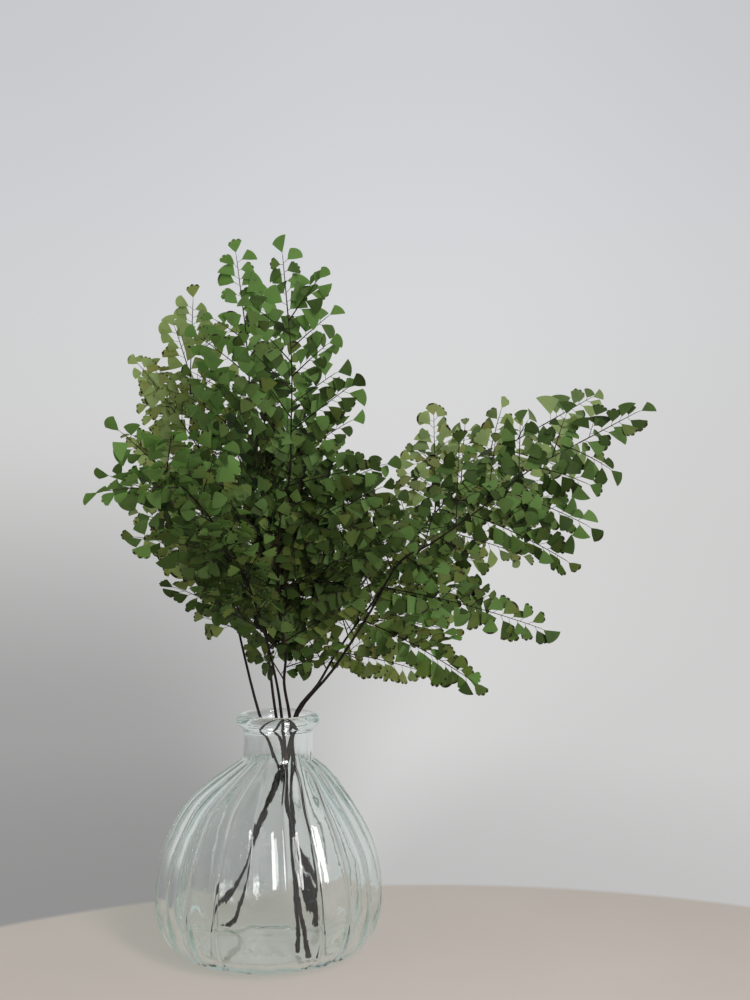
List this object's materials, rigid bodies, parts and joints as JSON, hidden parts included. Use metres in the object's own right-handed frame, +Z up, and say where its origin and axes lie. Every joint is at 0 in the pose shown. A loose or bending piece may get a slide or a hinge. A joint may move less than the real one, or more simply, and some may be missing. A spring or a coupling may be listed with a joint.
{
  "type": "maidenhair fern fronds in a ribbed glass bud vase",
  "caption": "Cut maidenhair fern fronds on wiry black stalks, standing loose in a clear ribbed globe-shaped glass bud vase with a short neck and a rolled lip.",
  "frame": {"origin": "centre of the vase's flat foot, on the surface it stands on", "axes": "+Z up, -Y towards the viewer of the picture, +X to the viewer's right"},
  "size_m": [0.2757, 0.1798, 0.3613],
  "materials": {
    "vase_glass": "clear, polished, faint green tint in thick places",
    "frond_green": "matt leaflets with a soft sheen, green to yellow-green",
    "frond_pale": "older, paler yellow-green leaflets",
    "stalk_black": "glossy black-brown wiry stalk"
  },
  "bodies": {
    "root": {"vase": "vase_glass", "frond_centre": "frond_green", "frond_upper_left": "frond_green", "frond_back_left": "frond_pale", "frond_front_left": "frond_green", "frond_right_long": "frond_green", "frond_right_back": "frond_pale"}
  },
  "joints": []
}
